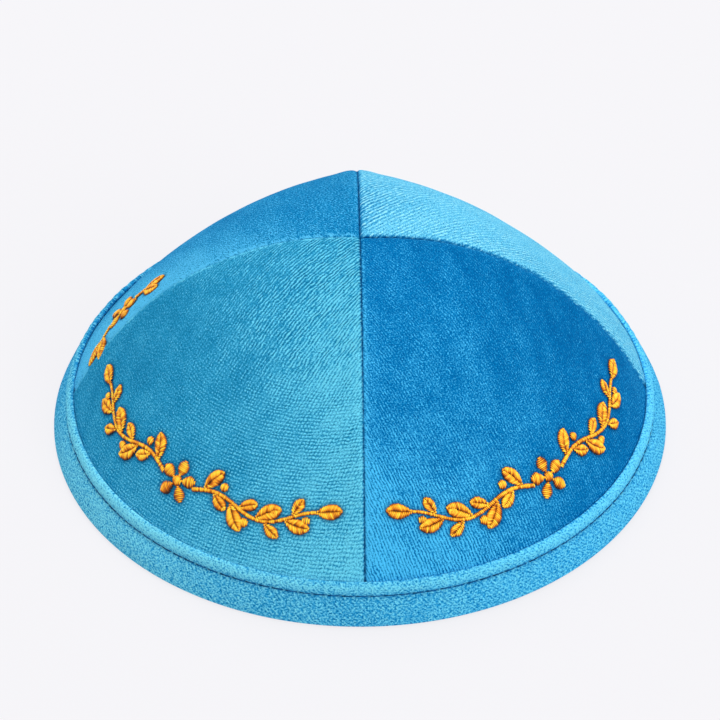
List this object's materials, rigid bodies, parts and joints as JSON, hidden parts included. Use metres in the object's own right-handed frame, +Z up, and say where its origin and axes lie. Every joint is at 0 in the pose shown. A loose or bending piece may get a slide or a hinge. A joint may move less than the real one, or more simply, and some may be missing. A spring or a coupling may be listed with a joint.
{
  "type": "kippah skullcap",
  "caption": "Domed velvet skullcap, open below, of sewn gores that meet at the crown, with a folded and topstitched rim band; worn on the top of the head.",
  "frame": {"origin": "centre of the rim, on the plane that the cap rests on", "axes": "+Z up through the crown; -Y to the front; the four seams run along +X, -X, +Y and -Y"},
  "size_m": [0.176, 0.176, 0.0662],
  "materials": {
    "velvet_front_left": "cut pile velvet, nap half raised, mid turquoise",
    "velvet_front_right": "cut pile velvet, nap turned away from the light, deep azure",
    "velvet_back_left": "cut pile velvet, nap turned away from the light, azure",
    "velvet_back_right": "cut pile velvet, nap turned to the light, pale turquoise",
    "velvet_band": "cut pile velvet, folded on the bias, turquoise"
  },
  "bodies": {
    "root": {"panel_front_left": "velvet_front_left", "panel_front_right": "velvet_front_right", "panel_back_left": "velvet_back_left", "panel_back_right": "velvet_back_right", "rim_band": "velvet_band"}
  },
  "joints": []
}
